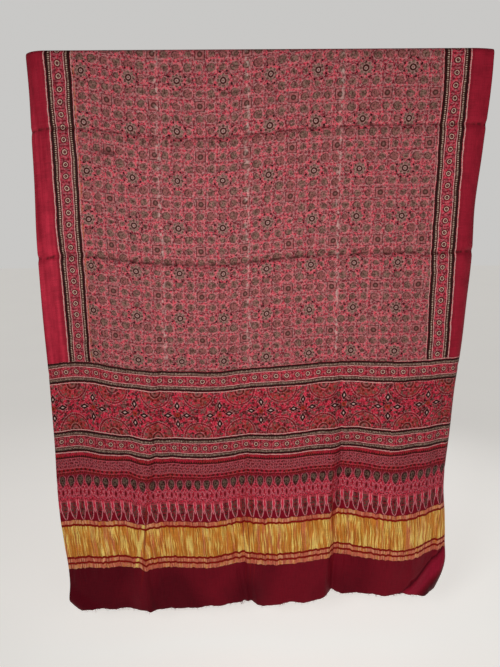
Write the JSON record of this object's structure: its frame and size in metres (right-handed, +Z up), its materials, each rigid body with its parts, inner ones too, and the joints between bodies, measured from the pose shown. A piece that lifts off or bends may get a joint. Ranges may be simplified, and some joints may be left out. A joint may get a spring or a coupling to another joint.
{
  "type": "ajrakh cloth",
  "caption": "Long printed silk cloth hung by its top edge, with sagging folds, rolled side edges, gold woven bands near the foot and a raw hem",
  "frame": {"origin": "Middle of the top edge, on the crest where the cloth turns over its hanger", "axes": "+Z up, the printed front faces -Y, +X to the viewer's right along the cloth's width"},
  "size_m": [1.1204, 0.1562, 1.5056],
  "materials": {
    "cloth": "soft printed modal silk with a low sheen"
  },
  "bodies": {
    "root": {"cloth": "cloth"}
  },
  "joints": []
}
